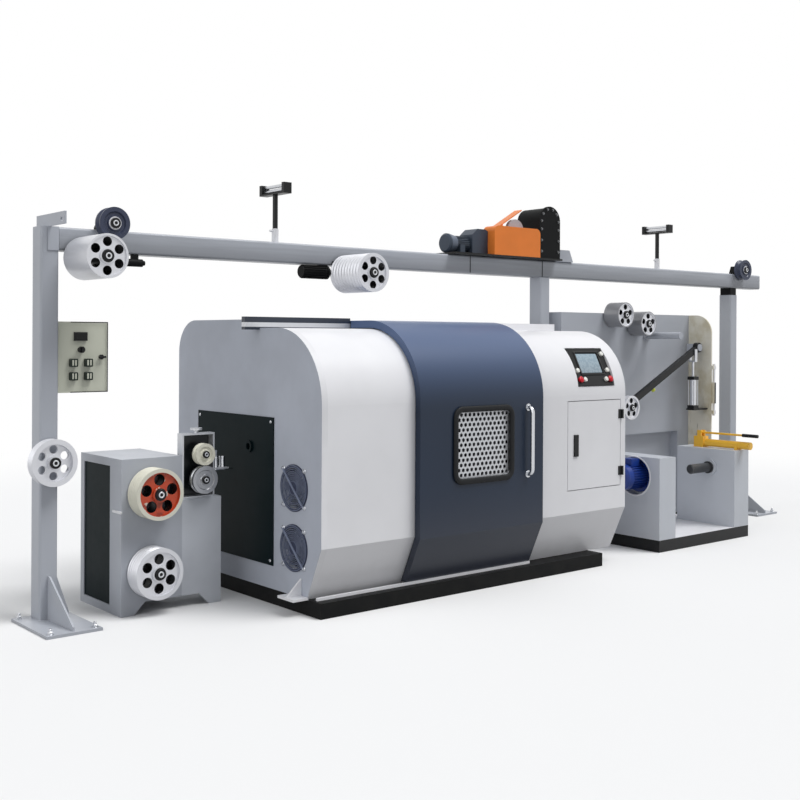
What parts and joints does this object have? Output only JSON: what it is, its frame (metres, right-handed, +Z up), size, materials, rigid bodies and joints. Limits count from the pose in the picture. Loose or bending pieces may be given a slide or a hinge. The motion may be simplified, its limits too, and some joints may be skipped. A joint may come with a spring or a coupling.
{
  "type": "cable twisting machine",
  "caption": "Cable twisting machine line: overhead guide beam on posts, take-off capstan, curved twisting cabinet with a sliding door, and a reel payoff stand with a dancer arm.",
  "frame": {"origin": "on the floor under the middle of the whole line", "axes": "+X along the line from the capstan to the payoff stand, the operator side faces -Y, +Z up"},
  "size_m": [6.766, 1.654, 2.475],
  "materials": {
    "frame_paint": "light grey paint, satin",
    "shell_paint": "near-white paint, satin",
    "wall_paint": "grey paint, satin",
    "slate_paint": "dark slate blue paint, satin",
    "black_paint": "black paint, satin",
    "dark_plastic": "black plastic",
    "bright_steel": "turned and ground steel",
    "chrome": "polished plating",
    "drum_metal": "turned light metal",
    "orange_paint": "orange paint, gloss",
    "capstan_paint": "red-orange paint with a pale rim",
    "blue_paint": "blue paint, satin",
    "beige_paint": "beige-grey paint, satin",
    "yellow_paint": "yellow paint, gloss"
  },
  "bodies": {
    "machine": {"left_post": "frame_paint", "middle_post": "frame_paint", "right_post": "frame_paint", "overhead_beam": "frame_paint", "drum_brackets": "black_paint", "roller_brackets": "black_paint", "cable_guides": "black_paint", "cable_guide_rollers": "bright_steel", "drive_bed": "black_paint", "drive_motor": "black_paint", "belt_guard": "orange_paint", "gear_housing": "black_paint", "control_box": "beige_paint", "capstan_stand": "frame_paint", "capstan_side_panel": "slate_paint", "tension_frame": "chrome", "cabinet_base": "black_paint", "left_end_wall": "wall_paint", "end_cover_panel": "slate_paint", "cooling_fans": "black_paint", "left_shell": "shell_paint", "rear_shell": "shell_paint", "drive_housing": "shell_paint", "door_rails": "slate_paint", "operator_panel": "dark_plastic", "payoff_base": "black_paint", "payoff_wall": "frame_paint", "left_spindle_housing": "frame_paint", "right_spindle_housing": "frame_paint", "spindle_motor": "blue_paint", "dancer_cylinder": "bright_steel", "hand_pump": "yellow_paint"},
    "sliding_door": {"sliding_door": "slate_paint", "door_window": "black_paint", "door_handle": "chrome"},
    "electrical_door": {"electrical_door": "shell_paint", "electrical_door_fittings": "dark_plastic"},
    "control_box_door": {"control_box_door": "beige_paint", "control_instruments": "dark_plastic"},
    "guide_drum": {"guide_drum": "drum_metal"},
    "grooved_drum": {"grooved_drum": "drum_metal"},
    "left_roller": {"left_roller": "slate_paint"},
    "right_roller": {"right_roller": "slate_paint"},
    "post_wheel": {"post_wheel": "shell_paint"},
    "capstan_wheel": {"capstan_wheel": "capstan_paint"},
    "lower_capstan_wheel": {"lower_capstan_wheel": "shell_paint"},
    "upper_tension_wheel": {"upper_tension_wheel": "beige_paint"},
    "lower_tension_wheel": {"lower_tension_wheel": "bright_steel"},
    "tail_spindle": {"tail_spindle": "black_paint"},
    "left_payoff_wheel": {"left_payoff_wheel": "shell_paint"},
    "right_payoff_wheel": {"right_payoff_wheel": "shell_paint"},
    "dancer_arm": {"dancer_arm": "black_paint"},
    "dancer_wheel": {"dancer_wheel": "shell_paint"},
    "dancer_rod": {"dancer_rod": "bright_steel"},
    "pump_lever": {"pump_lever": "yellow_paint"}
  },
  "joints": [
    {"name": "sliding_door_slide", "type": "slide", "parent": "machine", "child": "sliding_door", "axis": [-1, 0, 0], "range_m": [0, 0.6]},
    {"name": "electrical_door_hinge", "type": "hinge", "parent": "machine", "child": "electrical_door", "pos_m": [0.385, -0.7333, 0.81], "axis": [0, 0, 1], "range_deg": [0, 110]},
    {"name": "control_box_door_hinge", "type": "hinge", "parent": "machine", "child": "control_box_door", "pos_m": [-3.1797, 0.158, 1.39], "axis": [0, 0, -1], "range_deg": [0, 100]},
    {"name": "guide_drum_spin", "type": "hinge", "parent": "machine", "child": "guide_drum", "pos_m": [-3.055, 0, 1.917], "axis": [0, 1, 0], "continuous": true},
    {"name": "grooved_drum_spin", "type": "hinge", "parent": "machine", "child": "grooved_drum", "pos_m": [-1.307, 0, 1.903], "axis": [0, 1, 0], "continuous": true},
    {"name": "left_roller_spin", "type": "hinge", "parent": "machine", "child": "left_roller", "pos_m": [-2.9, 0.1, 2.114], "axis": [0, 1, 0], "continuous": true},
    {"name": "right_roller_spin", "type": "hinge", "parent": "machine", "child": "right_roller", "pos_m": [3.063, 0.1, 2.114], "axis": [0, 1, 0], "continuous": true},
    {"name": "post_wheel_spin", "type": "hinge", "parent": "machine", "child": "post_wheel", "pos_m": [-3.235, 0.09, 0.841], "axis": [0, 1, 0], "continuous": true},
    {"name": "capstan_wheel_spin", "type": "hinge", "parent": "machine", "child": "capstan_wheel", "pos_m": [-2.73, -0.08, 0.655], "axis": [0, 1, 0], "continuous": true},
    {"name": "lower_capstan_wheel_spin", "type": "hinge", "parent": "machine", "child": "lower_capstan_wheel", "pos_m": [-2.73, -0.08, 0.229], "axis": [0, 1, 0], "continuous": true},
    {"name": "upper_tension_wheel_spin", "type": "hinge", "parent": "machine", "child": "upper_tension_wheel", "pos_m": [-2.4145, -0.04, 0.845], "axis": [0, 1, 0], "continuous": true},
    {"name": "lower_tension_wheel_spin", "type": "hinge", "parent": "machine", "child": "lower_tension_wheel", "pos_m": [-2.4145, -0.04, 0.703], "axis": [0, 1, 0], "continuous": true},
    {"name": "tail_spindle_spin", "type": "hinge", "parent": "machine", "child": "tail_spindle", "pos_m": [1.6, -0.46, 0.52], "axis": [1, 0, 0], "continuous": true},
    {"name": "left_payoff_wheel_spin", "type": "hinge", "parent": "machine", "child": "left_payoff_wheel", "pos_m": [1.227, -0.01, 1.687], "axis": [0, 1, 0], "continuous": true},
    {"name": "right_payoff_wheel_spin", "type": "hinge", "parent": "machine", "child": "right_payoff_wheel", "pos_m": [1.505, -0.01, 1.622], "axis": [0, 1, 0], "continuous": true},
    {"name": "dancer_swing", "type": "hinge", "parent": "machine", "child": "dancer_arm", "pos_m": [2.14, -0.08, 1.435], "axis": [0, 1, 0], "range_deg": [-15, 25]},
    {"name": "dancer_wheel_spin", "type": "hinge", "parent": "dancer_arm", "child": "dancer_wheel", "pos_m": [1.22279, -0.126, 0.97969], "axis": [0, 1, 0], "continuous": true},
    {"name": "dancer_rod_slide", "type": "slide", "parent": "machine", "child": "dancer_rod", "axis": [0, 0, 1], "range_m": [-0.016, 0.026]},
    {"name": "pump_lever_hinge", "type": "hinge", "parent": "machine", "child": "pump_lever", "pos_m": [1.8625, -0.318, 0.774], "axis": [-1, 0, 0], "range_deg": [0, 60]}
  ],
  "couplings": [
    {"joint": "dancer_rod_slide", "follows": "dancer_swing", "m_per_rad": 0.055534}
  ]
}
